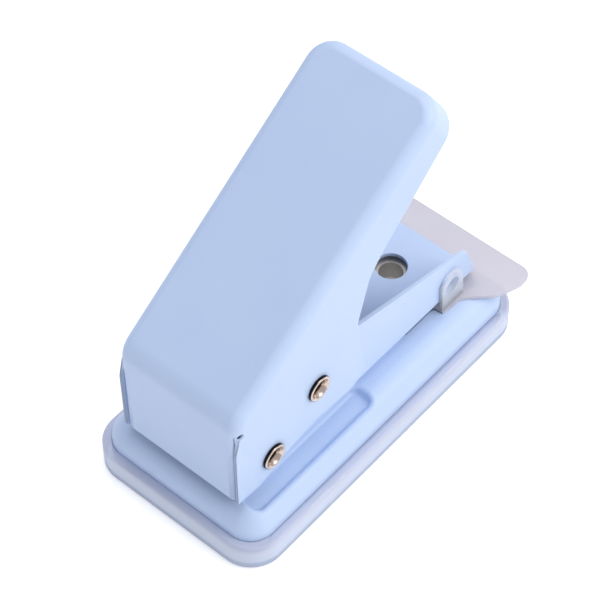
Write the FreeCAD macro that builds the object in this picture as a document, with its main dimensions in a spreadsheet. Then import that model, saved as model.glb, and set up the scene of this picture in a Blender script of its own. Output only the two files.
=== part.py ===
import FreeCAD, Part
import math
import os
import Sketcher
from FreeCAD import Placement, Rotation, Vector

# Desk punch for one round hole, in millimetres.
# X points to the mouth, Y to the left, Z up. The origin is the centre of the tray's footprint.
# The handle is drawn level, as when the punch is pressed shut, and stands open at handle_open degrees.

os.makedirs("parts", exist_ok=True)
doc = FreeCAD.newDocument("HolePunch")

sizes = {
    # chip tray
    "tray_length": 100.0, "tray_width": 52.1, "tray_height": 7.8, "tray_corner": 8.7,
    "tray_wall": 2.0, "tray_floor": 1.4, "tray_edge": 1.0, "tray_rim": 0.9, "ledge_top": 3.4, "ledge_inset": 3.7,
    "rib_length": 8.0, "rib_rise": 3.2, "rib_offset": 24.0, "rib_gap": 0.05,
    # base shell, set in from the tray's outline
    "shell_inset": 2.35, "shell_corner": 6.5, "shell_top": 14.8, "shell_round": 6.0, "shell_sheet": 1.2,
    "recess_rear": -42.0, "recess_front": -1.0, "recess_outer": 20.0, "recess_inner": 14.2,
    "recess_floor": 12.2, "recess_corner": 2.0, "recess_foot": 0.9, "recess_rim": 1.1,
    # hole being punched, punch pin and die
    "hole_x": 30.0, "pin_radius": 3.0, "die_clearance": 0.1, "die_radius": 4.5, "die_flange": 5.6,
    "die_top": 15.8, "die_bottom": 9.6, "die_land": 3.0, "die_relief": 0.4, "stripper_radius": 4.0,
    "pin_length": 19.8, "eye_radius": 4.0, "eye_width": 8.6, "tip_notch": 1.2,
    # lever frame and what it stands on
    "frame_sheet": 1.2, "frame_width": 32.0, "web_bottom": 17.0, "frame_bend": 2.4, "cheek_round": 2.2,
    "spacer_rear": -38.0, "spacer_front": 17.5, "spacer_width": 26.0, "spacer_corner": 2.0,
    "frame_rivet_radius": 1.5, "frame_rivet_head": 2.6, "frame_rivet_height": 1.4,
    "frame_rivet_rear": -26.0, "frame_rivet_front": 12.0, "frame_rivet_side": 9.0,
    "frame_rivet_edge": 0.6,
    # paper guide
    "guide_front": 52.3, "guide_half": 26.3, "guide_sheet": 1.0, "guide_corner": 3.0, "guide_bend": 2.0,
    "stud_x": 31.8, "stud_z": 22.9, "stud_radius": 2.9, "stud_wall": 0.6, "guide_ear": 4.3,
    "ear_half": 3.9, "ear_round": 1.6, "guide_gap": 0.12, "stud_clearance": 0.05, "stud_tip": 0.2,
    "guide_rear": 18.0,
    # handle
    "pivot_x": -18.0, "pivot_z": 33.8, "handle_open": 33.76, "handle_width": 34.8,
    "handle_sheet": 1.0, "handle_top": 25.7, "handle_front": 67.0, "handle_bend": 2.8,
    "handle_corner": 6.5, "lip_bottom": 15.0, "rear_bend": 6.8,
    "flap_foot_a": -31.4, "flap_foot_n": 1.9, "flap_head_a": -15.8,
    "wall_end_straight": 18.0, "wall_end_top": 23.2, "wall_end_back": 1.3, "wall_end_depth": 6.0,
    "seam_gap": 0.25, "seam_depth": 3.0, "relief_radius": 0.8, "relief_inset": 1.9,
    "rear_pin_a": -18.13, "rear_pin_n": 0.83,
    # rivets, washers, sleeves and bushes on the two cross rivets
    "rivet_radius": 2.25, "rivet_bore": 1.5, "rivet_head": 3.4, "rivet_rise": 1.0,
    "running_gap": 0.05, "washer_radius": 4.5, "bush_radius": 3.0, "bush_flange": 4.2,
    "sleeve_radius": 3.4, "sleeve_end": 14.6,
    # punch arm
    "arm_width": 12.0, "arm_sheet": 1.5, "arm_top": 6.0, "arm_bottom": -4.5, "arm_rear_round": 4.5,
    "arm_reach": 48.0, "arm_drop": -1.8, "arm_bend": 2.0, "arm_front_round": 3.0, "arm_chin": 1.1,
    "cross_pin_radius": 1.5, "cross_pin_length": 15.2, "clip_radius": 2.8, "clip_sheet": 0.6,
    # return spring
    "wire_radius": 0.7, "coil_radius": 4.35, "coil_pitch": 1.6, "coil_start": 7.3,
    "spring_foot_x": -2.0, "spring_reach": 12.0, "spring_toe": 5.0, "spring_hook": -2.0, "spring_gap": 0.1,
}

sheet = doc.addObject("Spreadsheet::Sheet", "Sizes")
for row, (word, value) in enumerate(sizes.items(), start=1):
    sheet.set(f"A{row}", word)
    sheet.set(f"B{row}", str(value))
    sheet.setAlias(f"B{row}", word)
doc.recompute()


class Size:
    """The sheet's values by name, for the few places that a formula can't reach."""

    def __getattr__(self, word):
        return float(sheet.get(word))


size = Size()


def formula(text):
    """Turns words of the sheet in a formula into references to its cells."""
    out, word = "", ""
    for mark in text + " ":
        if mark.isalnum() or mark == "_":
            word += mark
        else:
            out += "Sizes." + word if word in sizes else word
            out += mark
            word = ""
    return out.strip()


def bind(thing, prop, value):
    """Sets a property to a number, or ties it to the sheet when it is a formula."""
    if isinstance(value, str):
        thing.setExpression(prop, formula(value))
    else:
        setattr(thing, prop, value)


def number(value):
    """The present value of a number or of a formula over the sheet."""
    if not isinstance(value, str):
        return float(value)
    return float(sheet.evalExpression(formula(value)))


def new_body(label):
    body = doc.addObject("PartDesign::Body", label)
    body.Label = label
    return body


def origin_plane(body, role):
    return next(item for item in body.Origin.OriginFeatures if item.Role == role)


def new_sketch(body, name, role="XY_Plane", lift=0.0):
    sketch = body.newObject("Sketcher::SketchObject", name)
    sketch.AttachmentSupport = [(origin_plane(body, role), "")]
    sketch.MapMode = "FlatFace"
    if lift:
        bind(sketch, ".AttachmentOffset.Base.z", lift)
    return sketch


def pin_point(sketch, edge, end, x, y):
    """Holds one end of a sketch line at a place given by numbers or formulas."""
    for kind, value in (("DistanceX", x), ("DistanceY", y)):
        index = sketch.addConstraint(Sketcher.Constraint(kind, -1, 1, edge, end, number(value)))
        if isinstance(value, str):
            sketch.setExpression(f"Constraints[{index}]", formula(value))


def polygon(sketch, points):
    """A closed run of lines through the points."""
    spots = [Vector(number(x), number(y), 0) for x, y in points]
    first = sketch.GeometryCount
    count = len(spots)
    for i in range(count):
        sketch.addGeometry(Part.LineSegment(spots[i], spots[(i + 1) % count]), False)
    for i in range(count):
        after = first + (i + 1) % count
        sketch.addConstraint(Sketcher.Constraint("Coincident", first + i, 2, after, 1))
    for i, (x, y) in enumerate(points):
        pin_point(sketch, first + i, 1, x, y)


def rectangle(sketch, x0, y0, x1, y1):
    polygon(sketch, [(x0, y0), (x1, y0), (x1, y1), (x0, y1)])


def circle(sketch, x, y, radius):
    centre = Vector(number(x), number(y), 0)
    ring = sketch.addGeometry(Part.Circle(centre, Vector(0, 0, 1), number(radius)), False)
    pin_point(sketch, ring, 3, x, y)
    index = sketch.addConstraint(Sketcher.Constraint("Radius", ring, number(radius)))
    if isinstance(radius, str):
        sketch.setExpression(f"Constraints[{index}]", formula(radius))


def pad(body, name, sketch, length, both_ways=False, back=False):
    feature = body.newObject("PartDesign::Pad", name)
    feature.Profile = sketch
    bind(feature, "Length", length)
    feature.Midplane = both_ways
    feature.Reversed = back
    doc.recompute()
    return feature


def pocket(body, name, sketch, length):
    """Cuts a sketch's shape away, as far to one side of its plane as to the other."""
    before = body.Shape.Volume
    feature = body.newObject("PartDesign::Pocket", name)
    feature.Profile = sketch
    bind(feature, "Length", length)
    feature.Midplane = True
    doc.recompute()
    if not body.Shape.Volume < before:
        raise RuntimeError(name + " cuts nothing")
    return feature


def revolve(body, name, sketch, axis):
    feature = body.newObject("PartDesign::Revolution", name)
    feature.Profile = sketch
    feature.ReferenceAxis = (sketch, [axis])
    feature.Angle = 360.0
    doc.recompute()
    return feature


def edges_of(shape, wanted):
    """Names of the edges whose middle point, and direction there, pass the test."""
    names = []
    for i, edge in enumerate(shape.Edges, start=1):
        if edge.Degenerated:
            continue
        halfway = (edge.FirstParameter + edge.LastParameter) / 2
        if wanted(edge.valueAt(halfway), edge.tangentAt(halfway)):
            names.append(f"Edge{i}")
    if not names:
        raise RuntimeError("no edge found")
    return names


def round_edges(body, name, radius, wanted):
    base = body.Tip
    feature = body.newObject("PartDesign::Fillet", name)
    feature.Base = (base, edges_of(base.Shape, wanted))
    bind(feature, "Radius", radius)
    doc.recompute()
    if feature.Shape.isNull() or not feature.isValid():
        raise RuntimeError(name + " failed: " + str(feature.State))
    return feature


def upright(middle, run):
    return abs(run.z) > 0.99


def crosswise(run):
    return abs(run.y) > 0.99


def lengthwise(run):
    return abs(run.x) > 0.99


def cut(label, whole, tool):
    result = doc.addObject("Part::Cut", label)
    result.Base = whole
    result.Tool = tool
    result.Label = label
    doc.recompute()
    return result


def fuse(label, pieces):
    result = doc.addObject("Part::MultiFuse", label)
    result.Shapes = pieces
    result.Label = label
    doc.recompute()
    return result


def tray_block(label, inset, corner, bottom, height):
    """A rounded block, set in from the tray's outline."""
    body = new_body(label)
    sketch = new_sketch(body, label + "_plan", lift=bottom)
    rectangle(sketch, f"-tray_length / 2 + {inset}", f"-tray_width / 2 + {inset}",
              f"tray_length / 2 - {inset}", f"tray_width / 2 - {inset}")
    pad(body, label + "_pad", sketch, height)
    round_edges(body, label + "_corners", corner, upright)
    return body


# Chip tray: a tub whose ledge carries the shell's rim, with ribs that grip the shell

tray = new_body("tray_blank")
plan = new_sketch(tray, "tray_plan")
rectangle(plan, "-tray_length / 2", "-tray_width / 2", "tray_length / 2", "tray_width / 2")
pad(tray, "tray_pad", plan, "tray_height")
round_edges(tray, "tray_corners", "tray_corner", upright)
round_edges(tray, "tray_foot", "tray_edge", lambda m, run: m.z < 0.01)
round_edges(tray, "tray_lip", "tray_rim", lambda m, run: m.z > size.tray_height - 0.01)

upper = tray_block("tray_upper", "tray_wall", "tray_corner - tray_wall", "ledge_top", "tray_height")
lower = tray_block("tray_lower", "ledge_inset", "tray_corner - ledge_inset", "tray_floor", "tray_height")
tray_tub = cut("chip_tray_tub", cut("tray_ledge", tray, upper), lower)

ribs = []
for i, (side_x, side_y) in enumerate(((-1, -1), (1, -1), (-1, 1), (1, 1)), start=1):
    rib = doc.addObject("Part::Box", f"tray_rib_{i}")
    bind(rib, "Length", "rib_length")
    bind(rib, "Width", "shell_inset - rib_gap - tray_wall / 2")
    bind(rib, "Height", "rib_rise")
    bind(rib, ".Placement.Base.x", f"{side_x} * rib_offset - rib_length / 2")
    edge = "tray_width / 2 - shell_inset + rib_gap" if side_y > 0 else "-tray_width / 2 + tray_wall / 2"
    bind(rib, ".Placement.Base.y", edge)
    bind(rib, ".Placement.Base.z", "ledge_top")
    ribs.append(rib)
chip_tray = fuse("chip_tray", [tray_tub] + ribs)


# Base shell: pressed sheet, rounded all round its top, with a recess along each side of the frame

def recess_rims(label, form):
    """Rounds the upper edge of both recesses."""
    rims = doc.addObject("Part::Fillet", label)
    rims.Base = form
    edges = edges_of(form.Shape, lambda m, run: m.z > size.recess_floor + size.recess_rim
                     and size.recess_inner - 0.01 < abs(m.y) < size.recess_outer + 0.01
                     and size.recess_rear - 0.01 < m.x < size.recess_front + 0.01 and not upright(m, run))
    rims.Edges = [(int(name[4:]), size.recess_rim, size.recess_rim) for name in edges]
    doc.recompute()
    return rims


def shell_block(label, inset):
    """The shell's outer form, or the hollow one sheet inside it."""
    body = new_body(label)
    sketch = new_sketch(body, label + "_plan", lift="ledge_top")
    far_x, far_y = (f"tray_{side} / 2 - shell_inset - {inset}" for side in ("length", "width"))
    rectangle(sketch, f"-({far_x})", f"-({far_y})", far_x, far_y)
    pad(body, label + "_pad", sketch, f"shell_top - ledge_top - {inset}")
    round_edges(body, label + "_corners", f"shell_corner - {inset}", upright)
    top = number(f"shell_top - {inset}")
    round_edges(body, label + "_top", f"shell_round - {inset}", lambda m, run: m.z > top - 0.01)
    recesses = []
    for side in (-1, 1):
        recess = new_body(f"{label}_recess_{side}")
        sketch = new_sketch(recess, f"{label}_recess_plan_{side}", lift=f"recess_floor - {inset}")
        rows = sorted((f"{side} * (recess_inner - {inset})", f"{side} * (recess_outer + {inset})"), key=number)
        rectangle(sketch, f"recess_rear - {inset}", rows[0], f"recess_front + {inset}", rows[1])
        pad(recess, f"{label}_recess_pad_{side}", sketch, "shell_top")
        round_edges(recess, f"{label}_recess_corners_{side}", f"recess_corner + {inset}", upright)
        floor = number(f"recess_floor - {inset}")
        round_edges(recess, f"{label}_recess_foot_{side}", f"recess_foot + {inset}",
                    lambda m, run: m.z < floor + 0.01)
        recesses.append(recess)
    form = cut(label + "_form", body, fuse(label + "_recesses", recesses))
    return form if inset != "0" else recess_rims(label + "_rims", form)


shell_sheet_metal = cut("shell_sheet_metal", shell_block("shell_outer", "0"),
                        shell_block("shell_inner", "shell_sheet"))


def rod(name, radius, length, x=0.0, y=0.0, z=0.0, along="Z"):
    """A cylinder from its start point, along an axis."""
    piece = doc.addObject("Part::Cylinder", name)
    bind(piece, "Radius", radius)
    bind(piece, "Height", length)
    turn = {"Z": Rotation(), "Y": Rotation(Vector(1, 0, 0), -90)}
    piece.Placement = Placement(Vector(number(x), number(y), number(z)), turn[along])
    for mark, value in (("x", x), ("y", y), ("z", z)):
        if isinstance(value, str):
            bind(piece, ".Placement.Base." + mark, value)
    return piece


def cross_hole(name, radius, x, z):
    """A round hole from side to side, right through."""
    return rod(name, radius, "2 * tray_width", x, "-tray_width", z, "Y")


def down_hole(name, radius, x, y):
    """A round hole from above, right through the shell, the spacer and the web."""
    return rod(name, radius, "2 * web_bottom", x, y)


def group(label, pieces):
    """Separate solids of one kind under one name."""
    result = doc.addObject("Part::Compound", label)
    result.Links = pieces
    result.Label = label
    doc.recompute()
    return result


rivet_spots = [(x, f"{side} * frame_rivet_side")
               for x in ("frame_rivet_rear", "frame_rivet_front") for side in (-1, 1)]


def rivet_holes(label):
    return fuse(label, [down_hole(f"{label}_{i}", "frame_rivet_radius", x, y)
                        for i, (x, y) in enumerate(rivet_spots, start=1)])


base_shell = cut("base_shell", shell_sheet_metal, fuse("shell_holes", [
    down_hole("die_hole", "die_radius", "hole_x", 0.0), rivet_holes("shell_rivet_holes")]))


# Die: a flanged steel bush pressed into the shell, with a short land and a wider relief below

die = new_body("die_bush")
outline = new_sketch(die, "die_section", "XZ_Plane")
bore = "pin_radius + die_clearance"
polygon(outline, [
    (bore, "die_top"), ("die_flange", "die_top"), ("die_flange", "shell_top"),
    ("die_radius", "shell_top"), ("die_radius", "die_bottom"),
    (bore + " + die_relief", "die_bottom"), (bore + " + die_relief", "die_top - die_land - die_relief"),
    (bore, "die_top - die_land")])
revolve(die, "die_turning", outline, "V_Axis")
bind(die, ".Placement.Base.x", "hole_x")


# Throat spacer: the plate under the frame that sets the paper gap and stops the sheet's edge

spacer = new_body("spacer_blank")
plan = new_sketch(spacer, "spacer_plan", lift="shell_top")
rectangle(plan, "spacer_rear", "-spacer_width / 2", "spacer_front", "spacer_width / 2")
pad(spacer, "spacer_pad", plan, "web_bottom - shell_top")
round_edges(spacer, "spacer_corners", "spacer_corner", upright)
throat_spacer = cut("throat_spacer", spacer, rivet_holes("spacer_rivet_holes"))


# Lever frame: one folded sheet, two cheeks and the web between them

# the cheek's outline from the web's rear end round by the front, read in the side view
cheek_outline = [
    (-38.5, "web_bottom"), (42.8, "web_bottom"), (38.4, 28.5), (28.0, 31.4), (-2.0, 39.3),
    (-12.0, 44.0), (-30.0, 44.0), (-39.3, 36.5), (-40.2, 31.0), (-38.5, 21.5)]
frame = new_body("frame_blank")
side_view = new_sketch(frame, "cheek_sketch", "XZ_Plane")
polygon(side_view, cheek_outline)
pad(frame, "frame_pad", side_view, "frame_width", both_ways=True)
web_top = size.web_bottom + size.frame_sheet
round_edges(frame, "cheek_corners", "cheek_round",
            lambda m, run: crosswise(run) and m.z > web_top + size.cheek_round + 2.5)
round_edges(frame, "frame_bends", "frame_bend",
            lambda m, run: lengthwise(run) and m.z < size.web_bottom + 0.01)
channel = new_sketch(frame, "channel_section", "YZ_Plane")
rectangle(channel, "-frame_width / 2 + frame_sheet", "web_bottom + frame_sheet",
          "frame_width / 2 - frame_sheet", "2 * pivot_z")
pocket(frame, "channel", channel, "2 * tray_length")
round_edges(frame, "inner_bends", "frame_bend - frame_sheet",
            lambda m, run: lengthwise(run) and abs(m.z - web_top) < 0.01)

swing = math.hypot(size.rear_pin_a, size.rear_pin_n)
pin_angle = math.degrees(math.atan2(size.rear_pin_n, size.rear_pin_a))
slot_half = size.bush_radius + size.running_gap


def across(radius_angle, reach):
    """A point about the pivot in the side view."""
    turn = math.radians(radius_angle)
    return Vector(size.pivot_x + reach * math.cos(turn), 0, size.pivot_z + reach * math.sin(turn))


def slot_wire():
    """Outline of the curved slot that the rear rivet's bush follows."""
    low, high = pin_angle + size.handle_open, pin_angle
    middle = (low + high) / 2
    parts = [Part.Arc(across(low, swing + side), across(middle, swing + side),
                      across(high, swing + side)).toShape() for side in (-slot_half, slot_half)]
    for end, away in ((low, 1), (high, -1)):
        turn = math.radians(end)
        tip = across(end, swing) + Vector(-math.sin(turn), 0, math.cos(turn)) * away * slot_half
        parts.append(Part.Arc(across(end, swing - slot_half), tip, across(end, swing + slot_half)).toShape())
    return Part.Wire(Part.__sortEdges__(parts))


slots = doc.addObject("Part::Feature", "cheek_slots")
slots.Shape = Part.Face(slot_wire()).extrude(Vector(0, 2 * size.frame_width, 0))
slots.Placement = Placement(Vector(0, -size.frame_width, 0), Rotation())
frame_holes = fuse("frame_holes", [
    cross_hole("pivot_hole", "rivet_radius + running_gap", "pivot_x", "pivot_z"),
    cross_hole("stud_hole", "stud_radius + stud_clearance", "stud_x", "stud_z"),
    down_hole("web_hole", "stripper_radius", "hole_x", 0.0),
    rivet_holes("web_rivet_holes"), slots])
lever_frame = cut("lever_frame", frame, frame_holes)


# Frame rivets: shell, spacer and web held by four solid rivets

heads = []
rivet_foot = "shell_top - shell_sheet"
for i, (x, y) in enumerate(rivet_spots, start=1):
    rivet = new_body(f"frame_rivet_{i}")
    outline = new_sketch(rivet, f"frame_rivet_section_{i}", "XZ_Plane")
    top = "web_bottom + frame_sheet"
    polygon(outline, [
        (0.0, rivet_foot + " - frame_rivet_height"),
        ("frame_rivet_head - frame_rivet_edge", rivet_foot + " - frame_rivet_height"),
        ("frame_rivet_head", rivet_foot + " - frame_rivet_edge"), ("frame_rivet_head", rivet_foot),
        ("frame_rivet_radius", rivet_foot), ("frame_rivet_radius", top), ("frame_rivet_head", top),
        ("frame_rivet_head - frame_rivet_edge / 3", top + " + frame_rivet_edge"),
        ("frame_rivet_head - 2 * frame_rivet_edge", top + " + frame_rivet_height"),
        (0.0, top + " + frame_rivet_height")])
    revolve(rivet, f"frame_rivet_turning_{i}", outline, "V_Axis")
    bind(rivet, ".Placement.Base.x", x)
    bind(rivet, ".Placement.Base.y", y)
    heads.append(rivet)
frame_rivets = group("frame_rivets", heads)


# Paper guide: a thin plate in the throat, wide in front, whose two ears snap on the cheeks by hollow studs

guide = new_body("guide_plate")
plan = new_sketch(guide, "guide_plan", lift="shell_top")
# one half of the plate's outline from the rear, read in the plan view
guide_outline = [
    ("guide_rear", 14.4), ("stud_x - ear_half", 14.4), ("stud_x - 3.4", 15.0),
    ("stud_x - 3.2", "frame_width / 2 + guide_gap + guide_sheet"), (34.2, 17.6), (36.4, 19.2),
    (41.2, 24.0), (44.6, 25.4), (47.2, "guide_half"), ("guide_front", "guide_half")]
polygon(plan, guide_outline + [(x, f"-({y})") for x, y in reversed(guide_outline)])
pad(guide, "guide_pad", plan, "guide_sheet")
round_edges(guide, "guide_corners", "guide_corner",
            lambda m, run: upright(m, run) and m.x > size.guide_front - 1)
round_edges(guide, "guide_flare", "guide_bend",
            lambda m, run: upright(m, run) and size.stud_x + 2 < m.x < size.guide_front - 7)
guide_sheet_piece = cut("guide_sheet_piece", guide,
                        down_hole("die_space", "die_flange + rib_gap * 4", "hole_x", 0.0))

ear_parts = []
for i, hand in enumerate((-1, 1)):
    ear = new_body(f"guide_ear_{i}")
    outline = new_sketch(ear, f"guide_ear_outline_{i}", "XZ_Plane")
    polygon(outline, [("stud_x - 3.2", "shell_top + 0.2"), ("stud_x + 5.0", "shell_top + 0.2"),
                      ("stud_x + ear_half", "stud_z + 1.8"), ("stud_x + ear_half / 2", "stud_z + guide_ear"),
                      ("stud_x - ear_half / 2", "stud_z + guide_ear"), ("stud_x - ear_half", "stud_z + 1.8")])
    pad(ear, f"guide_ear_pad_{i}", outline, "guide_sheet", both_ways=True)
    round_edges(ear, f"guide_ear_round_{i}", "ear_round",
                lambda m, run: crosswise(run) and m.z > size.stud_z)
    bind(ear, ".Placement.Base.y", f"{hand} * (frame_width / 2 + guide_gap + guide_sheet / 2)")
    inside = "frame_width / 2 - frame_sheet - stud_tip"
    reach = "frame_sheet + stud_tip + guide_gap + guide_sheet / 2"
    stud = rod(f"guide_stud_{i}", "stud_radius", reach, "stud_x",
               inside if hand > 0 else f"-({inside}) - ({reach})", "stud_z", "Y")
    hollow = rod(f"guide_hollow_{i}", "stud_radius - stud_wall", "frame_width", "stud_x",
                 f"{inside} + stud_wall" if hand > 0 else f"-({inside}) - stud_wall - frame_width", "stud_z", "Y")
    ear_parts.append(cut(f"guide_snap_{i}", fuse(f"guide_ear_stud_{i}", [ear, stud]), hollow))
paper_guide = fuse("paper_guide", [guide_sheet_piece] + ear_parts)


# Handle pieces are drawn level about the pivot and set open at the end

def flap_point(along, inset):
    """A point of the rear flap's plane, from its lower edge up, set in by a distance."""
    run = Vector(size.flap_head_a - size.flap_foot_a, size.handle_top - size.flap_foot_n, 0).normalize()
    return (size.flap_foot_a + run.x * along + run.y * inset, size.flap_foot_n + run.y * along - run.x * inset)


def flap_at_height(height, inset):
    """The place where the flap's plane, set in by a distance, is at a height."""
    low, high = flap_point(0.0, inset), flap_point(10.0, inset)
    share = (height - low[1]) / (high[1] - low[1])
    return (low[0] + share * (high[0] - low[0]), height)


# corners of the side wall's lower edge from the rear, each with its rounding, read in the side view
lower_edge = [
    ((-25.2, -3.1), 4.0), ((-17.2, -5.0), 8.0), ((-7.0, -9.6), 8.0), ((2.6, -17.2), 3.0),
    ((7.9, -18.8), 1.8), ((17.0, 0.4), 3.0), ((27.2, 8.8), 8.0), ((34.0, 10.5), 8.0)]


def handle_block(label, inset):
    """The handle's outer form, or the hollow one sheet inside it, which is open below."""
    body = new_body(label)
    outline = new_sketch(body, label + "_outline", "XZ_Plane")
    front, top = size.handle_front - inset, size.handle_top - inset
    if inset:
        low = flap_point(-40.0, inset)
        points = [low, (f"handle_front - {inset}", low[1])]
    else:
        points = [flap_point(0.0, 0.0)] + [spot for spot, turn in lower_edge] + [("handle_front", "lip_bottom")]
    points += [(f"handle_front - {inset}", f"handle_top - {inset}"), flap_at_height(top, inset)]
    polygon(outline, points)
    pad(body, label + "_pad", outline, f"handle_width - 2 * {inset}", both_ways=True)
    round_edges(body, label + "_front", f"handle_corner - {inset}",
                lambda m, run: upright(m, run) and m.x > front - 0.01)
    round_edges(body, label + "_rear", f"rear_bend - {inset}",
                lambda m, run: crosswise(run) and m.z > top - 0.01 and m.x < 0)
    round_edges(body, label + "_top", f"handle_bend - {inset}",
                lambda m, run: m.z > top - 0.01 and not (crosswise(run) and m.x < 0))
    if not inset:
        for (a, n), turn in lower_edge:
            round_edges(body, f"{label}_low_{round(a)}", turn,
                        lambda m, run: crosswise(run) and math.hypot(m.x - a, m.z - n) < 0.8)
    return body


def wall_strips(label, points, outer, inner):
    """A plate of the given side view at each side, between two distances from the middle plane."""
    body = new_body(label)
    view = new_sketch(body, label + "_view", "XZ_Plane")
    polygon(view, points)
    pad(body, label + "_pad", view, f"2 * ({outer})", both_ways=True)
    middle = new_sketch(body, label + "_middle", "XZ_Plane")
    rectangle(middle, "-handle_front", "-handle_front", "handle_front", "handle_front")
    pocket(body, label + "_pocket", middle, f"2 * ({inner})")
    return body


# the side walls run on to the flap's plane, and the flap, rounded at its sides, ends just inside them
cover_form = cut("cover_form", handle_block("cover_outer", 0), handle_block("cover_inner", size.handle_sheet))
wall_ends = wall_strips("cover_wall_ends", [
    flap_point(0.0, 0.0), flap_point(size.wall_end_straight, 0.0),
    flap_point(size.wall_end_top, size.wall_end_back), flap_point(size.wall_end_top, size.wall_end_depth),
    flap_point(0.0, size.wall_end_depth)], "handle_width / 2", "handle_width / 2 - handle_sheet")
seam_top = size.wall_end_top + size.relief_radius
seams = wall_strips("cover_seams", [
    flap_point(-size.seam_depth, -1.0), flap_point(seam_top, -1.0),
    flap_point(seam_top, size.seam_depth), flap_point(-size.seam_depth, size.seam_depth)],
    "handle_width / 2 - handle_sheet", "handle_width / 2 - handle_sheet - seam_gap")
relief_a, relief_n = flap_point(seam_top, size.relief_inset)
handle_cover = cut("handle_cover", fuse("cover_sheet_metal", [cover_form, wall_ends]), fuse("cover_cuts", [
    seams, cross_hole("seam_relief", "relief_radius", relief_a, relief_n),
    cross_hole("cover_pivot_hole", "rivet_radius", 0.0, 0.0),
    cross_hole("cover_rear_hole", "rivet_radius", "rear_pin_a", "rear_pin_n")]))


# Punch arm: a narrow folded lever on the two cross rivets, which carries the punch pin

arm = new_body("arm_blank")
outline = new_sketch(arm, "arm_outline", "XZ_Plane")
polygon(outline, [
    ("rear_pin_a - arm_rear_round", "rear_pin_n - arm_rear_round"), (-13.0, "rear_pin_n - arm_rear_round"),
    (-8.0, "arm_bottom"), ("arm_reach - 8", "arm_bottom"), ("arm_reach - 4", "arm_bottom - arm_chin"),
    ("arm_reach + arm_rear_round", "arm_bottom - arm_chin"), ("arm_reach + arm_rear_round", "arm_top"),
    ("rear_pin_a - arm_rear_round", "arm_top")])
pad(arm, "arm_pad", outline, "arm_width", both_ways=True)
round_edges(arm, "arm_rear", "arm_rear_round - 0.1",
            lambda m, run: crosswise(run) and m.x < size.rear_pin_a - 1 and m.z < 0.0)
round_edges(arm, "arm_front", "arm_front_round",
            lambda m, run: crosswise(run) and m.x > size.arm_reach + 1 and m.z < 0.0)
round_edges(arm, "arm_folds", "arm_bend", lambda m, run: lengthwise(run) and m.z > size.arm_top - 0.1)
inside = new_sketch(arm, "arm_section", "YZ_Plane")
rectangle(inside, "-arm_width / 2 + arm_sheet", "4 * arm_bottom",
          "arm_width / 2 - arm_sheet", "arm_top - arm_sheet")
pocket(arm, "arm_channel", inside, "2 * tray_length")
round_edges(arm, "arm_inner_folds", "arm_bend - arm_sheet",
            lambda m, run: lengthwise(run) and abs(m.z - size.arm_top + size.arm_sheet) < 0.01
            and abs(m.y) < size.arm_width / 2 - size.arm_sheet + 0.1)
punch_arm = cut("punch_arm", arm, fuse("arm_holes", [
    cross_hole("arm_pivot_hole", "rivet_radius", 0.0, 0.0),
    cross_hole("arm_rear_hole", "rivet_radius", "rear_pin_a", "rear_pin_n"),
    cross_hole("arm_cross_hole", "cross_pin_radius", "arm_reach", "arm_drop")]))


# Cross rivets: tubes rolled over outside the handle's walls

def tube_rivet(label):
    body = new_body(label)
    outline = new_sketch(body, label + "_section", "XY_Plane")
    edge = "handle_width / 2"
    half = [("rivet_radius", edge), ("rivet_head", edge), ("rivet_head", edge + " + 0.45 * rivet_rise"),
            ("rivet_head - 0.7", edge + " + rivet_rise"), ("rivet_bore + 0.5", edge + " + rivet_rise"),
            ("rivet_bore", edge + " + 0.3 * rivet_rise")]
    polygon(outline, half + [(x, f"-({y})") for x, y in reversed(half)])
    revolve(body, label + "_turning", outline, "V_Axis")
    outer = number(edge + " + 0.4 * rivet_rise")
    round_edges(body, label + "_roll", "rivet_rise / 4", lambda m, run: abs(m.y) > outer)
    return body


pivot_rivet = tube_rivet("pivot_rivet")
rear_rivet = tube_rivet("rear_rivet")


def ring(name, outer, start, end, a, n, hole="rivet_radius"):
    """A ring about a cross rivet, between two distances from the middle plane."""
    shell = rod(name + "_disc", outer, f"({end}) - ({start})", a, start, n, "Y")
    return cut(name, shell, rod(name + "_hole", hole, f"({end}) - ({start}) + 2", a, f"({start}) - 1", n, "Y"))


def both_sides(name, outer, start, end, a, n, hole="rivet_radius"):
    return [ring(name + "_left", outer, start, end, a, n, hole),
            ring(name + "_right", outer, f"-({end})", f"-({start})", a, n, hole)]


cheek_face = "frame_width / 2 + running_gap"
wall_face = "handle_width / 2 - handle_sheet"
pivot_washers = group("pivot_washers", both_sides(
    "pivot_washer", "washer_radius", cheek_face, wall_face, 0.0, 0.0))
pivot_sleeves = group("pivot_sleeves", both_sides(
    "pivot_sleeve", "sleeve_radius", "arm_width / 2", "sleeve_end", 0.0, 0.0))
rear_sleeves = group("rear_sleeves", both_sides(
    "rear_sleeve", "bush_radius", "arm_width / 2", "sleeve_end", "rear_pin_a", "rear_pin_n"))
tubes = both_sides("bush_tube", "bush_radius", "sleeve_end", cheek_face, "rear_pin_a", "rear_pin_n")
flanges = both_sides("bush_flange_ring", "bush_flange", cheek_face, wall_face, "rear_pin_a", "rear_pin_n")
slot_bushes = group("slot_bushes", [fuse(f"slot_bush_{i}", [tube, flange])
                                    for i, (tube, flange) in enumerate(zip(tubes, flanges), start=1)])

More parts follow.
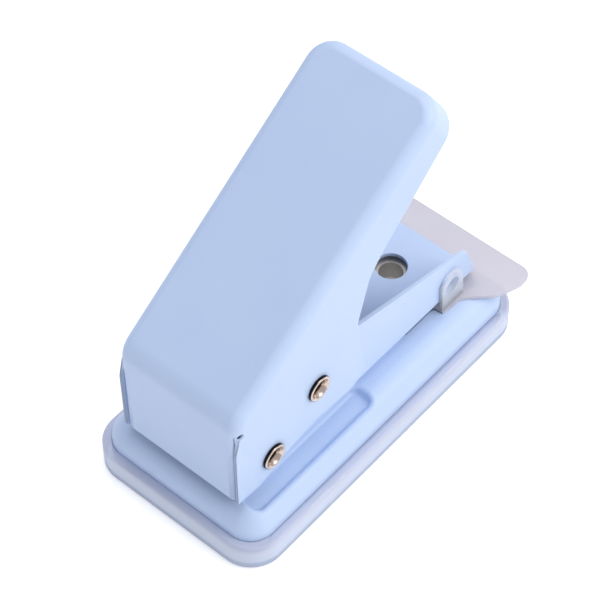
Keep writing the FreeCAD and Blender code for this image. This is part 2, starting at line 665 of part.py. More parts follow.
cross_pin = rod("cross_pin", "cross_pin_radius", "cross_pin_length", 0.0, "-cross_pin_length / 2", 0.0, "Y")
cross_pin.Label = "cross_pin"
clips = []
for clip in both_sides("pin_clip", "clip_radius", "arm_width / 2 + running_gap",
                       "arm_width / 2 + running_gap + clip_sheet", "arm_reach", "arm_drop", "cross_pin_radius"):
    mouth = doc.addObject("Part::Box", clip.Label + "_mouth")
    bind(mouth, "Length", "1.4 * cross_pin_radius")
    bind(mouth, "Width", "arm_width * 2")
    bind(mouth, "Height", "clip_radius * 2")
    bind(mouth, ".Placement.Base.x", "arm_reach - 0.7 * cross_pin_radius")
    bind(mouth, ".Placement.Base.y", "-arm_width")
    bind(mouth, ".Placement.Base.z", "arm_drop")
    clips.append(cut(clip.Label + "_open", clip, mouth))
pin_clips = group("pin_clips", clips)


# Punch pin: hangs upright from the cross pin, with a hollow-ground tip

punch = new_body("punch_pin")
plan = new_sketch(punch, "punch_shank_plan")
circle(plan, 0.0, 0.0, "pin_radius")
pad(punch, "punch_shank", plan, "pin_length", back=True)
eye = new_sketch(punch, "punch_eye_outline", "XZ_Plane")
circle(eye, 0.0, 0.0, "eye_radius")
pad(punch, "punch_eye", eye, "eye_width", both_ways=True)
eye_hole = new_sketch(punch, "punch_eye_hole", "XZ_Plane")
circle(eye_hole, 0.0, 0.0, "cross_pin_radius + running_gap")
pocket(punch, "punch_eye_bore", eye_hole, "2 * eye_width")
notch = new_sketch(punch, "punch_tip_notch", "XZ_Plane")
polygon(notch, [("-pin_radius - 0.5", "-pin_length - 0.3"), (0.0, "-pin_length + tip_notch"),
                ("pin_radius + 0.5", "-pin_length - 0.3")])
pocket(punch, "punch_tip", notch, "2 * eye_width")


# Return spring: torsion spring on the left pivot sleeve, one leg on the web, one under the arm

def spring_shape():
    pivot = Vector(size.pivot_x, 0, size.pivot_z)
    coil, wire, lift = size.coil_radius, size.wire_radius, math.radians(size.handle_open)
    foot = Vector(size.spring_foot_x - pivot.x, 0, web_top + wire + size.spring_gap - pivot.z)
    start = -90.0 + size.handle_open
    leave = math.degrees(math.atan2(foot.z, foot.x) + math.acos(coil / foot.Length))
    turns = 3 + ((start - leave) % 360.0) / 360.0
    height = turns * size.coil_pitch
    helix = Part.makeHelix(size.coil_pitch, height, coil)
    helix.Placement = Placement(Vector(0, size.coil_start, 0),
                                Rotation(Vector(0, 1, 0), -start) * Rotation(Vector(1, 0, 0), -90))

    def rim(angle, y):
        turn = math.radians(angle)
        return Vector(coil * math.cos(turn), y, coil * math.sin(turn))

    first = rim(start, size.coil_start)
    last = rim(leave, size.coil_start + height)
    edge = helix.Edges[0]
    run = edge.tangentAt(edge.FirstParameter)
    section = Part.Wire(Part.makeCircle(wire, edge.valueAt(edge.FirstParameter), run))
    body = Part.Wire(helix.Edges).makePipeShell([section], True, True)

    def arm_point(a, n, y):
        return Vector(a * math.cos(lift) - n * math.sin(lift), y, a * math.sin(lift) + n * math.cos(lift))

    below = size.arm_bottom - wire - size.spring_gap
    knee = arm_point(size.spring_reach, below, size.coil_start)
    hook = arm_point(size.spring_reach, below, size.spring_hook)
    rest = Vector(foot.x, last.y, foot.z)
    toe = rest + Vector(size.spring_toe, 0, 0)
    for a, b in ((first, knee), (knee, hook), (last, rest), (rest, toe)):
        body = body.fuse(Part.makeCylinder(wire, (b - a).Length, a, b - a))
    for spot in (first, knee, last, rest):
        body = body.fuse(Part.makeSphere(wire, spot))
    return body.removeSplitter()


return_spring = doc.addObject("Part::Feature", "return_spring")
return_spring.Shape = spring_shape()
return_spring.Placement = Placement(Vector(size.pivot_x, 0, size.pivot_z), Rotation())


# Places: the handle group is turned up about the pivot, and the punch pin hangs upright from it

handle_group = [handle_cover, punch_arm, pivot_washers, pivot_sleeves, rear_sleeves, slot_bushes, pin_clips]
for piece in handle_group:
    piece.Placement.Rotation = Rotation(Vector(0, -1, 0), 1.0)
    bind(piece, ".Placement.Rotation.Angle", "handle_open")
    bind(piece, ".Placement.Base.x", "pivot_x")
    bind(piece, ".Placement.Base.z", "pivot_z")


def opened(a, n):
    """Formulas for a handle point's place with the handle open."""
    return (f"pivot_x + ({a}) * cos(handle_open * 1 deg) - ({n}) * sin(handle_open * 1 deg)",
            f"pivot_z + ({a}) * sin(handle_open * 1 deg) + ({n}) * cos(handle_open * 1 deg)")


for piece, a, n in ((pivot_rivet, "0", "0"), (rear_rivet, "rear_pin_a", "rear_pin_n"),
                    (cross_pin, "arm_reach", "arm_drop"), (punch, "arm_reach", "arm_drop")):
    x, z = opened(a, n)
    bind(piece, ".Placement.Base.x", x)
    bind(piece, ".Placement.Base.z", z)
doc.recompute()


# Checks and files

parts = [chip_tray, base_shell, die, paper_guide, throat_spacer, lever_frame, frame_rivets,
         handle_cover, punch_arm, pivot_rivet, rear_rivet, pivot_washers, pivot_sleeves, rear_sleeves,
         slot_bushes, cross_pin, pin_clips, punch, return_spring]

for item in doc.Objects:
    if "Invalid" in item.State or "Error" in item.State:
        raise RuntimeError(item.Label + " failed: " + str(item.State))
for piece in parts:
    if piece.Shape.isNull() or not piece.Shape.isValid():
        raise RuntimeError(piece.Label + " has no valid shape")
for piece in parts:
    piece.Shape.exportStep(f"parts/{piece.Label}.step")
    box = piece.Shape.BoundBox
    print(f"{piece.Label:16s} solids {len(piece.Shape.Solids)} volume {piece.Shape.Volume:9.1f}"
          f"  x {box.XMin:6.1f} {box.XMax:6.1f}  y {box.YMin:6.1f} {box.YMax:6.1f}"
          f"  z {box.ZMin:6.1f} {box.ZMax:6.1f}")
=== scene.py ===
import math

import bmesh
import bpy
from mathutils import Matrix, Vector


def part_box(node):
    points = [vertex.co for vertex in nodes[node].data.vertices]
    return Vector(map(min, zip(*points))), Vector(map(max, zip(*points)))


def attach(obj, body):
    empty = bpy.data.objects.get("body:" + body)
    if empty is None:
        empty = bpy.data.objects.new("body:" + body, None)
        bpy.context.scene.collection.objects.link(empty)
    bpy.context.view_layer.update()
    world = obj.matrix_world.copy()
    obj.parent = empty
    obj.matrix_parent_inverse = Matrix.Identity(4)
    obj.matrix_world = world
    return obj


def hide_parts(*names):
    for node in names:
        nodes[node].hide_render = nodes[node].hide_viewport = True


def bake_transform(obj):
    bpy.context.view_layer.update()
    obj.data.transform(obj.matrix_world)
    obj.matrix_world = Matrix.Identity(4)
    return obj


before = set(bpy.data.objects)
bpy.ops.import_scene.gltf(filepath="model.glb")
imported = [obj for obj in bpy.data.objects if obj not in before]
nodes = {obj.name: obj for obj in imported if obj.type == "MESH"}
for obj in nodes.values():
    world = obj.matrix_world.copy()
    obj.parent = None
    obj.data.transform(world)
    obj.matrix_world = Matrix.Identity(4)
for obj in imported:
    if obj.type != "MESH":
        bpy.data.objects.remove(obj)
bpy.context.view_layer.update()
scene = bpy.context.scene
mm = 0.001
mergeWithin = 1e-6
print("frame loaded:", len(nodes), "nodes")


# small helpers

def hexColour(text):
    # an sRGB hex colour as linear values
    channels = [int(text[i:i + 2], 16) / 255 for i in (1, 3, 5)]
    return [c / 12.92 if c <= 0.04045 else ((c + 0.055) / 1.055) ** 2.4 for c in channels] + [1.0]


def addNode(tree, kind, settings=None, links=None):
    # one shader node: settings are properties or input values, links go from input name to output socket
    node = tree.nodes.new(kind)
    for key, value in (settings or {}).items():
        if isinstance(key, int) or key in node.inputs:
            node.inputs[key].default_value = value
        else:
            setattr(node, key, value)
    for key, socket in (links or {}).items():
        tree.links.new(socket, node.inputs[key])
    return node


def newMaterial(name):
    material = bpy.data.materials.new(name)
    material.use_nodes = True
    material.node_tree.nodes.clear()
    return material, material.node_tree


def finishMaterial(tree, shader):
    addNode(tree, "ShaderNodeOutputMaterial", links={"Surface": shader.outputs[0]})


def newObject(name, data):
    made = bpy.data.objects.new(name, data)
    scene.collection.objects.link(made)
    return made


def newPiece(name, mesh, body, material, replaced):
    piece = newObject(name, mesh)
    mesh.materials.append(material)
    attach(piece, body)
    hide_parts(replaced)
    return piece


def giveFaces(piece, material, chosen):
    # one more material, for the faces that are chosen
    piece.data.materials.append(material)
    for face in piece.data.polygons:
        if chosen(face):
            face.material_index = len(piece.data.materials) - 1


def meshFrom(bm, name, sharpFrom):
    # closes the bmesh: doubles merged, faces outwards, shaded smooth up to an angle
    bmesh.ops.remove_doubles(bm, verts=bm.verts, dist=mergeWithin)
    bmesh.ops.recalc_face_normals(bm, faces=bm.faces)
    for face in bm.faces:
        face.smooth = True
    for edge in bm.edges:
        if len(edge.link_faces) == 2 and edge.calc_face_angle(0) > math.radians(sharpFrom):
            edge.smooth = False
    mesh = bpy.data.meshes.new(name)
    bm.to_mesh(mesh)
    bm.free()
    return mesh


# camera: the photograph's own, solved from the object's straight edges

cameraView = {
    "place": (-0.24751, -0.21002, 0.44121),
    "right": (0.64862, -0.76111, -0.00093),
    "forward": (0.47216, 0.40334, -0.78383),
    "lens": 133.39, "sensor": 36.0,
    "near": 0.05, "far": 10.0,
}


def makeCamera(view):
    data = bpy.data.cameras.new("photoCamera")
    data.lens = view["lens"]
    data.sensor_width = view["sensor"]
    data.clip_start = view["near"]
    data.clip_end = view["far"]
    camera = newObject("photoCamera", data)
    forward = Vector(view["forward"]).normalized()
    up = Vector(view["right"]).normalized().cross(forward).normalized()
    right = forward.cross(up).normalized()
    turn = Matrix((right, up, -forward)).transposed()
    camera.matrix_world = Matrix.Translation(view["place"]) @ turn.to_4x4()
    scene.camera = camera


makeCamera(cameraView)
print("camera placed")


# floor, backdrop and light: white all round, soft light from the right and above

studio = {
    "floorSize": 3.0, "floorDrop": 0.0002, "floorColour": "#F7F7F8", "floorRoughness": 0.9, "floorGlow": 0.5,
    "worldColour": "#ECF2FF", "worldStrength": 0.73,
    # the dim side of the room: its direction, and the angles in degrees where it is full and where it ends
    "dimFrom": (-0.47, 0.40, 0.785), "dimFull": 12.0, "dimEdge": 36.0, "dimStrength": 0.03,
    "lampAim": (0, 0, 0.03),
    "lamps": {
        "keyWindow": {"power": 7.1, "size": 0.9, "place": (0.42, -1.03, 1.0), "colour": "#FFFBF2"},
        "topPanel": {"power": 6.9, "size": 1.1, "place": (0.25, 0.1, 1.6), "colour": "#FDFAFF"},
    },
}


def makeFloor(look):
    # seamless paper: matt and pale, with a glow that only the camera, gloss and clear plastic see
    material, tree = newMaterial("whiteSeamlessPaper")
    paper = addNode(tree, "ShaderNodeBsdfPrincipled",
                    {"Base Color": hexColour(look["floorColour"]), "Roughness": look["floorRoughness"]})
    glow = addNode(tree, "ShaderNodeEmission", {"Color": (1, 1, 1, 1), "Strength": look["floorGlow"]})
    glowing = addNode(tree, "ShaderNodeAddShader", links={0: paper.outputs[0], 1: glow.outputs[0]})
    seen = addNode(tree, "ShaderNodeLightPath")
    cameraOrGloss = addNode(tree, "ShaderNodeMath", {"operation": "MAXIMUM"},
                            {0: seen.outputs["Is Camera Ray"], 1: seen.outputs["Is Glossy Ray"]})
    anySight = addNode(tree, "ShaderNodeMath", {"operation": "MAXIMUM"},
                       {0: cameraOrGloss.outputs[0], 1: seen.outputs["Is Transmission Ray"]})
    mix = addNode(tree, "ShaderNodeMixShader",
                  links={0: anySight.outputs[0], 1: paper.outputs[0], 2: glowing.outputs[0]})
    finishMaterial(tree, mix)
    bm = bmesh.new()
    bmesh.ops.create_grid(bm, x_segments=1, y_segments=1, size=look["floorSize"],
                          matrix=Matrix.Translation((0, 0, -look["floorDrop"])))
    mesh = bpy.data.meshes.new("studioFloor")
    bm.to_mesh(mesh)
    bm.free()
    mesh.materials.append(material)
    floor = newObject("studioFloor", mesh)


def makeLamp(name, look, aim):
    data = bpy.data.lights.new(name, "AREA")
    data.shape = "DISK"
    data.size = look["size"]
    data.energy = look["power"]
    data.color = hexColour(look["colour"])[:3]
    lamp = newObject(name, data)
    lamp.location = look["place"]
    lamp.rotation_mode = "QUATERNION"
    lamp.rotation_quaternion = (Vector(aim) - Vector(look["place"])).to_track_quat("-Z", "Y")


def makeWorld(look):
    world = bpy.data.worlds.new("studioWorld")
    world.use_nodes = True
    tree = world.node_tree
    tree.nodes.clear()
    # the room is dim towards the rear left, as behind a black card, and plain white where the camera sees it
    ray = addNode(tree, "ShaderNodeTexCoord")
    nearness = addNode(tree, "ShaderNodeVectorMath", {"operation": "DOT_PRODUCT", 1: look["dimFrom"]},
                       {0: ray.outputs["Generated"]})
    level = addNode(tree, "ShaderNodeMapRange",
                    {"interpolation_type": "SMOOTHSTEP",
                     "From Min": math.cos(math.radians(look["dimEdge"])), "To Min": look["worldStrength"],
                     "From Max": math.cos(math.radians(look["dimFull"])), "To Max": look["dimStrength"]},
                    {"Value": nearness.outputs["Value"]})
    room = addNode(tree, "ShaderNodeBackground", {"Color": hexColour(look["worldColour"])},
                   {"Strength": level.outputs[0]})
    white = addNode(tree, "ShaderNodeBackground", {"Color": (1, 1, 1, 1), "Strength": 1.0})
    seen = addNode(tree, "ShaderNodeLightPath")
    mix = addNode(tree, "ShaderNodeMixShader",
                  links={0: seen.outputs["Is Camera Ray"], 1: room.outputs[0], 2: white.outputs[0]})
    addNode(tree, "ShaderNodeOutputWorld", links={"Surface": mix.outputs[0]})
    scene.world = world


makeFloor(studio)
for lampName, lampLook in studio["lamps"].items():
    makeLamp(lampName, lampLook, studio["lampAim"])
makeWorld(studio)
scene.view_settings.view_transform = "Standard"
print("studio lit")


# materials: lengths whose names end in Mm are millimetres, and a noise's Scale is one over its real size

noiseSpan = {"From Min": 0.3, "From Max": 0.7}  # what a noise really covers, drawn out to the whole range

powderCoat = {
    "colour": "#CBDDF8", "shade": "#BFD3F3", "mostShade": 0.35, "driftMm": 22.0,
    "roughLow": 0.42, "roughHigh": 0.51, "coat": 0.12, "coatRoughness": 0.35,
    "peelMm": 0.55, "peelHeightMm": 0.012, "peelBump": 0.25,
}


def powderCoatedSteel(look):
    # powder-coated steel: an even matt-satin skin with a faint orange peel and broad soft highlights
    material, tree = newMaterial("powderCoatedSteel")
    place = addNode(tree, "ShaderNodeTexCoord")
    drift = addNode(tree, "ShaderNodeTexNoise", {"Scale": 1 / (look["driftMm"] * mm), "Detail": 3.0},
                    {"Vector": place.outputs["Object"]})
    weak = addNode(tree, "ShaderNodeMapRange", {**noiseSpan, "To Max": look["mostShade"]},
                   {"Value": drift.outputs["Fac"]})
    colour = addNode(tree, "ShaderNodeMix",
                     {"data_type": "RGBA", 6: hexColour(look["colour"]), 7: hexColour(look["shade"])},
                     {0: weak.outputs[0]})
    peel = addNode(tree, "ShaderNodeTexNoise", {"Scale": 1 / (look["peelMm"] * mm), "Detail": 2.0},
                   {"Vector": place.outputs["Object"]})
    bump = addNode(tree, "ShaderNodeBump",
                   {"Strength": look["peelBump"], "Distance": look["peelHeightMm"] * mm},
                   {"Height": peel.outputs["Fac"]})
    rough = addNode(tree, "ShaderNodeMapRange",
                    {**noiseSpan, "To Min": look["roughLow"], "To Max": look["roughHigh"]},
                    {"Value": peel.outputs["Fac"]})
    skin = addNode(tree, "ShaderNodeBsdfPrincipled",
                   {"IOR": 1.5, "Coat Weight": look["coat"], "Coat Roughness": look["coatRoughness"]},
                   {"Base Color": colour.outputs[2], "Roughness": rough.outputs[0],
                    "Normal": bump.outputs[0]})
    finishMaterial(tree, skin)
    return material


# frosted plastic by its place: the tray's wall, the tray's floor, the guide's sheet and the guide's ears
# a band is a height in millimetres and the colour there: the deep blue at the tub wall's foot is painted
# shade, where the tub stands on the floor, and the paler blue further up is painted for the blue shell seen
# through the wall
frosted = {
    "frostedPolypropyleneTub": {
        "bands": [(0.0, "#B9C4D6"), (0.35, "#A3B5D2"), (2.1, "#A8BAD8"),
                  (3.0, "#D6E1F6"), (5.6, "#DBE5F9"), (6.8, "#D6DDF3")],
        "opacity": 0.78, "roughLow": 0.36, "roughHigh": 0.48,
    },
    "frostedPolypropyleneFloor": {
        "bands": [(0.0, "#E4EAF6"), (9.0, "#E4EAF6")], "opacity": 0.3, "roughLow": 0.36, "roughHigh": 0.48,
    },
    "frostedPolypropyleneSheet": {
        "bands": [(0.0, "#DFDAE1"), (9.0, "#DFDAE1")], "opacity": 0.78, "roughLow": 0.32, "roughHigh": 0.44,
    },
    # the guide's ears: the sheet's plastic painted lighter and bluer, painted light for the light the
    # frosted plastic carries through and for the blue cheek behind
    "frostedPolypropyleneEarPaintedLight": {
        "bands": [(0.0, "#ECF3FF"), (9.0, "#ECF3FF")], "opacity": 0.55, "roughLow": 0.32, "roughHigh": 0.44,
    },
}
frostGrain = {
    "grainMm": 0.35, "grainHeightMm": 0.01, "grainBump": 0.3,
    "driftMm": 9.0, "cloud": "#E4E3EA", "mostCloud": 0.2, "bandTopMm": 10.0,
}


def frostedPolypropylene(name, look, grainLook):
    # frosted polypropylene: milky, some of the blue behind it shows through, with a fine spark-eroded grain
    material, tree = newMaterial(name)
    place = addNode(tree, "ShaderNodeTexCoord")
    grain = addNode(tree, "ShaderNodeTexNoise", {"Scale": 1 / (grainLook["grainMm"] * mm), "Detail": 3.0},
                    {"Vector": place.outputs["Object"]})
    drift = addNode(tree, "ShaderNodeTexNoise", {"Scale": 1 / (grainLook["driftMm"] * mm), "Detail": 2.0},
                    {"Vector": place.outputs["Object"]})
    # colour by height: on the tub this paints shade at the wall's foot and the shell's blue higher up
    height = addNode(tree, "ShaderNodeSeparateXYZ", links={0: place.outputs["Object"]})
    level = addNode(tree, "ShaderNodeMapRange", {"From Max": grainLook["bandTopMm"] * mm},
                    {"Value": height.outputs["Z"]})
    bands = addNode(tree, "ShaderNodeValToRGB", links={0: level.outputs[0]})
    stops = bands.color_ramp.elements
    for i, (bottom, colour) in enumerate(look["bands"]):
        stop = stops[i] if i < 2 else stops.new(0.99)  # the ramp starts with two stops
        stop.position = bottom / grainLook["bandTopMm"]
        stop.color = hexColour(colour)
    weak = addNode(tree, "ShaderNodeMapRange", {**noiseSpan, "To Max": grainLook["mostCloud"]},
                   {"Value": drift.outputs["Fac"]})
    colour = addNode(tree, "ShaderNodeMix", {"data_type": "RGBA", 7: hexColour(grainLook["cloud"])},
                     {0: weak.outputs[0], 6: bands.outputs["Color"]})
    bump = addNode(tree, "ShaderNodeBump",
                   {"Strength": grainLook["grainBump"], "Distance": grainLook["grainHeightMm"] * mm},
                   {"Height": grain.outputs["Fac"]})
    rough = addNode(tree, "ShaderNodeMapRange",
                    {**noiseSpan, "To Min": look["roughLow"], "To Max": look["roughHigh"]},
                    {"Value": drift.outputs["Fac"]})
    skin = addNode(tree, "ShaderNodeBsdfPrincipled", {"IOR": 1.49, "Alpha": look["opacity"]},
                   {"Base Color": colour.outputs[2], "Roughness": rough.outputs[0],
                    "Normal": bump.outputs[0]})
    finishMaterial(tree, skin)
    return material


metals = {
    # warm bright plating on the rolled rivet heads: small soft highlights with a champagne cast
    "champagnePlatedSteel": {"colour": "#D8C9BF", "dark": "#BBA898", "roughLow": 0.18, "roughHigh": 0.32,
                             "cloudMm": 1.2},
    # the tube inside a rivet: brown-grey, painted much darker than its plated head, as painted shade deep in
    # the mouth
    "boreSteelPaintedShade": {"colour": "#6E5F52", "dark": "#54483E", "roughLow": 0.24, "roughHigh": 0.38,
                          "cloudMm": 1.0},
    # the rivet's outer rim: painted nearly black, a thin ring of painted shade round the bright roll
    "rimSteelPaintedShade": {"colour": "#24252B", "dark": "#191A1F", "roughLow": 0.29, "roughHigh": 0.43,
                           "cloudMm": 0.8},
    # ground tool steel: pale grey with a dull, slightly streaky sheen
    "groundToolSteel": {"colour": "#DBD6D0", "dark": "#CFC9C2", "roughLow": 0.44, "roughHigh": 0.58,
                        "cloudMm": 0.5},
    # zinc plating: cool grey, cloudy, half bright
    "zincPlatedSteel": {"colour": "#BDC0C4", "dark": "#9DA1A7", "roughLow": 0.32, "roughHigh": 0.46,
                        "cloudMm": 2.5},
    # drawn spring wire: dark grey and fairly bright
    "springSteelWire": {"colour": "#8C8D90", "dark": "#6B6C70", "roughLow": 0.24, "roughHigh": 0.38,
                        "cloudMm": 0.6},
}
metalCloud = {"from": 0.25, "to": 0.75, "bump": 0.15, "heightMm": 0.005}


def metalFinish(name, look, cloudLook):
    # metal: tint and roughness wander a little over the surface, as plating and grinding leave them
    material, tree = newMaterial(name)
    place = addNode(tree, "ShaderNodeTexCoord")
    cloud = addNode(tree, "ShaderNodeTexNoise", {"Scale": 1 / (look["cloudMm"] * mm), "Detail": 4.0},
                    {"Vector": place.outputs["Object"]})
    colour = addNode(tree, "ShaderNodeMix",
                     {"data_type": "RGBA", 6: hexColour(look["colour"]), 7: hexColour(look["dark"])},
                     {0: cloud.outputs["Fac"]})
    rough = addNode(tree, "ShaderNodeMapRange",
                    {"From Min": cloudLook["from"], "From Max": cloudLook["to"],
                     "To Min": look["roughLow"], "To Max": look["roughHigh"]},
                    {"Value": cloud.outputs["Fac"]})
    bump = addNode(tree, "ShaderNodeBump",
                   {"Strength": cloudLook["bump"], "Distance": cloudLook["heightMm"] * mm},
                   {"Height": cloud.outputs["Fac"]})
    skin = addNode(tree, "ShaderNodeBsdfPrincipled", {"Metallic": 1.0},
                   {"Base Color": colour.outputs[2], "Roughness": rough.outputs[0],
                    "Normal": bump.outputs[0]})
    finishMaterial(tree, skin)
    return material


nylonLook = {"colour": "#ECE8DC", "roughLow": 0.38, "roughHigh": 0.5, "cloudMm": 1.5}


def naturalNylon(look):
    # natural nylon: off-white, waxy, slightly glossy
    material, tree = newMaterial("naturalNylon")
    place = addNode(tree, "ShaderNodeTexCoord")
    cloud = addNode(tree, "ShaderNodeTexNoise", {"Scale": 1 / (look["cloudMm"] * mm), "Detail": 2.0},
                    {"Vector": place.outputs["Object"]})
    rough = addNode(tree, "ShaderNodeMapRange", {"To Min": look["roughLow"], "To Max": look["roughHigh"]},
                    {"Value": cloud.outputs["Fac"]})
    skin = addNode(tree, "ShaderNodeBsdfPrincipled", {"Base Color": hexColour(look["colour"]), "IOR": 1.53},
                   {"Roughness": rough.outputs[0]})
    finishMaterial(tree, skin)
    return material


coat = powderCoatedSteel(powderCoat)
frost = {name: frostedPolypropylene(name, look, frostGrain) for name, look in frosted.items()}
metal = {name: metalFinish(name, look, metalCloud) for name, look in metals.items()}
nylon = naturalNylon(nylonLook)

finishes = {
    "throat_spacer": coat,
    "die_bush": metal["groundToolSteel"],
    "punch_pin": metal["groundToolSteel"],
    "cross_pin": metal["groundToolSteel"],
    "frame_rivets": metal["zincPlatedSteel"],
    "punch_arm": metal["zincPlatedSteel"],
    "pivot_sleeves": metal["zincPlatedSteel"],
    "rear_sleeves": metal["zincPlatedSteel"],
    "pin_clips": metal["springSteelWire"],
    "pivot_washers": nylon,
    "slot_bushes": nylon,
}
for nodeName, finish in finishes.items():
    slots = nodes[nodeName].data.materials
    slots.clear()
    slots.append(finish)
print("materials given to", len(finishes), "nodes")


# pressed and moulded pieces: the solids' own shapes, evenly shaded, with the sharp edges that show broken
# round is the width of the break in millimetres; edges that reach behind a place along X stay sharp, because
# the cover's rear seam and the guide's root have no room for a break

shownPieces = {
    "handleCover": {"node": "handle_cover", "body": "handle", "slot": "powder_coat", "skin": coat,
                    "round": 0.2, "behind": -38.0},
    "leverFrame": {"node": "lever_frame", "body": "base", "slot": "powder_coat", "skin": coat,
                   "round": 0.2, "behind": -50.0},
    "baseShell": {"node": "base_shell", "body": "base", "slot": "powder_coat", "skin": coat},
    "chipTray": {"node": "chip_tray", "body": "tray", "slot": "frosted_plastic",
                 "skin": frost["frostedPolypropyleneTub"], "floorBelow": 1.6},
    "paperGuide": {"node": "paper_guide", "body": "base", "slot": "frosted_plastic",
                   "skin": frost["frostedPolypropyleneSheet"], "round": 0.1, "behind": 28.8,
                   "earsAbove": 16.2},
}
edgeWork = {"flat": 0.5, "sharp": 40.0, "steps": 2, "evenWeight": 80, "level": 0.9}
snapLip = {"halfLength": 50.0, "halfWidth": 26.05, "corner": 8.7, "wall": 2.0, "top": 7.8,
           "depth": 0.05, "within": 0.1, "draw": 0.28}


def drawLip(bm, look):
    # the tub's inner top edge is drawn in to touch the shell
    for vert in bm.verts:
        x = max(abs(vert.co.x) / mm - look["halfLength"] + look["corner"], 0.0)
        y = max(abs(vert.co.y) / mm - look["halfWidth"] + look["corner"], 0.0)
        reach = math.hypot(x, y)
        inner = abs(reach - look["corner"] + look["wall"]) < look["within"]
        if inner and vert.co.z > (look["top"] - look["depth"]) * mm:
            vert.co.x -= math.copysign(x / reach * look["draw"] * mm, vert.co.x)
            vert.co.y -= math.copysign(y / reach * look["draw"] * mm, vert.co.y)


def breakEdges(bm, look, work):
    start = look["behind"] * mm
    sharp = math.radians(work["sharp"])
    corners = [edge for edge in bm.edges
               if len(edge.link_faces) == 2 and min(v.co.x for v in edge.verts) > start
               and edge.calc_face_angle(0) > sharp]
    bmesh.ops.bevel(bm, geom=corners, offset=look["round"] * mm, segments=work["steps"], profile=0.5,
                    affect="EDGES", material=-1)


def shapeFromSolid(name, look, work):
    bm = bmesh.new()
    bm.from_mesh(nodes[look["node"]].data)
    bmesh.ops.remove_doubles(bm, verts=bm.verts, dist=mergeWithin)
    bmesh.ops.dissolve_limit(bm, angle_limit=math.radians(work["flat"]), verts=bm.verts, edges=bm.edges)
    if name == "chipTray":
        drawLip(bm, snapLip)
    if "round" in look:
        breakEdges(bm, look, work)
    for face in bm.faces:
        face.smooth = True
    mesh = bpy.data.meshes.new(name)
    bm.to_mesh(mesh)
    bm.free()
    mesh.materials.clear()
    piece = newPiece(name, mesh, look["body"], look["skin"], look["node"])
    even = piece.modifiers.new("evenShading", "WEIGHTED_NORMAL")
    even.weight = work["evenWeight"]
    even.keep_sharp = True
    return piece


print("pressed and moulded pieces:")
for pieceName, look in shownPieces.items():
    piece = shapeFromSolid(pieceName, look, edgeWork)
    if "earsAbove" in look:
        # painted light: the ears take the lighter, bluer copy of the sheet's plastic
        giveFaces(piece, frost["frostedPolypropyleneEarPaintedLight"],
                  lambda face: face.center.z > look["earsAbove"] * mm)
    if "floorBelow" in look:
        giveFaces(piece, frost["frostedPolypropyleneFloor"],
                  lambda face: (face.center.z < look["floorBelow"] * mm
                                and abs(face.normal.z) > edgeWork["level"]))
    print(" ", pieceName, len(piece.data.polygons), "faces")


# cross rivets: a tube whose ends are rolled over outside the handle's walls

tubeRivet = {
    "wallFace": 17.4, "turns": 64, "sharpFrom": 60,
    "rimShadeFrom": 3.3, "rimShadeTo": 0.9, "boreShadeFrom": 2.12,
    # radius and height above the wall, from under the head round the roll and down the mouth
    "rolledEnd": [(2.25, 0.0), (3.2, 0.0), (3.36, 0.12), (3.4, 0.3), (3.4, 0.6), (3.34, 0.8), (3.2, 0.94),
                  (3.02, 1.0), (2.84, 0.97), (2.68, 0.86), (2.52, 0.66), (2.36, 0.4), (2.2, 0.05),
                  (2.06, -0.4), (1.97, -0.9), (1.95, -1.5)],
}


def makeTubeRivet(name, replaced, look):
    # the section is drawn once for the right end, mirrored, and spun about the rivet's axis
    low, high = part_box(replaced)
    centre = (low + high) / 2
    right = [(r, -(look["wallFace"] + h)) for r, h in look["rolledEnd"]]
    left = [(r, -y) for r, y in reversed(right)]
    bm = bmesh.new()
    corners = [bm.verts.new((centre.x + r * mm, y * mm, centre.z)) for r, y in right + left]
    edges = [bm.edges.new((near, far)) for near, far in zip(corners, corners[1:] + corners[:1])]
    bmesh.ops.spin(bm, geom=corners + edges, cent=centre, axis=(0, 1, 0), angle=math.tau,
                   steps=look["turns"], use_merge=True)
    piece = newPiece(name, meshFrom(bm, name, look["sharpFrom"]), "handle",
                     metal["champagnePlatedSteel"], replaced)

    def reach(face):
        return math.hypot(face.center.x - centre.x, face.center.z - centre.z)

    # the rolled face is plated; the head's outer rim is painted black, painted shade round the roll where it
    # turns in to the wall, and the mouth is painted dark brown, painted shade inside the tube
    rimTop = (look["wallFace"] + look["rimShadeTo"]) * mm
    giveFaces(piece, metal["rimSteelPaintedShade"],
              lambda face: reach(face) > look["rimShadeFrom"] * mm and abs(face.center.y) < rimTop)
    # painted shade: faces inside the mouth take the dark bore steel
    giveFaces(piece, metal["boreSteelPaintedShade"], lambda face: reach(face) < look["boreShadeFrom"] * mm)


makeTubeRivet("pivotTubeRivet", "pivot_rivet", tubeRivet)
makeTubeRivet("rearTubeRivet", "rear_rivet", tubeRivet)
print("cross rivets made")


# return spring: one wire, whose coil twists between the frame's leg and the arm's leg

springLook = {
    "pivot": (-18.0, 33.8), "open": 33.76, "wire": 0.7, "wireSteps": 3, "sharpFrom": 50,
    "coil": 4.35, "pitch": 1.6, "start": 7.3, "fullTurns": 3, "perTurn": 40,
    "foot": (-2.0, 19.0), "toe": 5.0, "armPoint": (12.0, -5.3), "hookEnd": -2.0,
    "bendRadius": 1.2, "bendSteps": 6, "bendFrom": 0.3,
    "twistFrom": 12.4, "twistTo": 8.0,
}


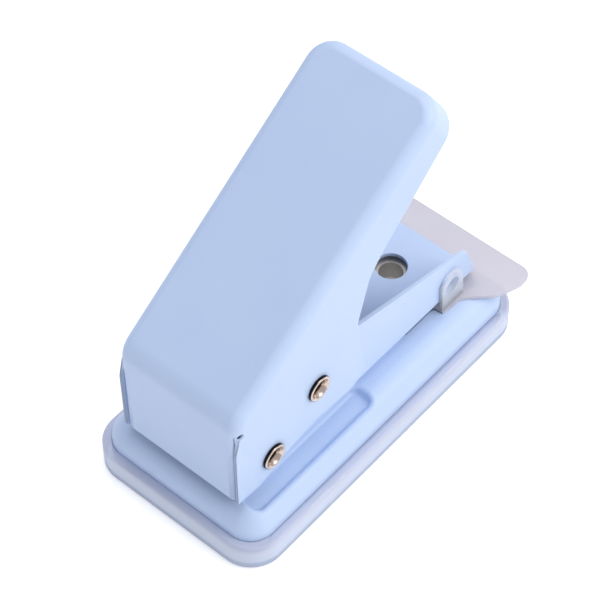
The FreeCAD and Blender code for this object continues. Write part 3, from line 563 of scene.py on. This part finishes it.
def springLine(look):
    # the wire's centre line, from the hook under the arm to the toe on the web, in millimetres
    cx, cz = look["pivot"]
    lift = math.radians(look["open"])
    a, n = look["armPoint"]
    kneeX = cx + a * math.cos(lift) - n * math.sin(lift)
    kneeZ = cz + a * math.sin(lift) + n * math.cos(lift)
    first = -90.0 + look["open"]
    footX, footZ = look["foot"][0] - cx, look["foot"][1] - cz
    leave = math.degrees(math.atan2(footZ, footX) + math.acos(look["coil"] / math.hypot(footX, footZ)))
    turns = look["fullTurns"] + ((first - leave) % 360.0) / 360.0
    points = [Vector((kneeX, look["hookEnd"], kneeZ)), Vector((kneeX, look["start"], kneeZ))]
    steps = round(turns * look["perTurn"])
    for i in range(steps + 1):
        angle = math.radians(first - 360.0 * turns * i / steps)
        points.append(Vector((cx + look["coil"] * math.cos(angle),
                              look["start"] + look["pitch"] * turns * i / steps,
                              cz + look["coil"] * math.sin(angle))))
    points.append(Vector((look["foot"][0], points[-1].y, look["foot"][1])))
    points.append(points[-1] + Vector((look["toe"], 0, 0)))
    return points


def roundCorners(points, look):
    # every sharp corner of the line gets a small bend
    path = [points[0]]
    for before, point, after in zip(points, points[1:], points[2:]):
        turn = (point - before).angle(after - point)
        if turn > look["bendFrom"]:
            reach = look["bendRadius"] * math.tan(turn / 2)
            start = point + (before - point).normalized() * reach
            end = point + (after - point).normalized() * reach
            for k in range(look["bendSteps"] + 1):
                t = k / look["bendSteps"]
                path.append(start * (1 - t) ** 2 + point * 2 * t * (1 - t) + end * t ** 2)
        else:
            path.append(point)
    return path + [points[-1]]


def wireMesh(name, path, look):
    # a curve with a round section along the line, turned into a mesh
    curve = bpy.data.curves.new(name, "CURVE")
    curve.dimensions = "3D"
    curve.bevel_depth = look["wire"] * mm
    curve.bevel_resolution = look["wireSteps"]
    curve.use_fill_caps = True
    spline = curve.splines.new("POLY")
    spline.points.add(len(path) - 1)
    for spot, point in zip(spline.points, path):
        spot.co = (*(point * mm), 1.0)
    holder = newObject(name + "Line", curve)
    bpy.context.view_layer.update()
    mesh = bpy.data.meshes.new_from_object(holder.evaluated_get(bpy.context.evaluated_depsgraph_get()))
    bpy.data.objects.remove(holder)
    bm = bmesh.new()
    bm.from_mesh(mesh)
    bpy.data.meshes.remove(mesh)
    return meshFrom(bm, name, look["sharpFrom"])


def makeSpring(look):
    mesh = wireMesh("torsionSpring", roundCorners(springLine(look), look), look)
    mesh.materials.append(metal["springSteelWire"])
    spring = newObject("torsionSpring", mesh)
    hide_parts("return_spring")
    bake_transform(spring)


makeSpring(springLook)
print("return spring made")
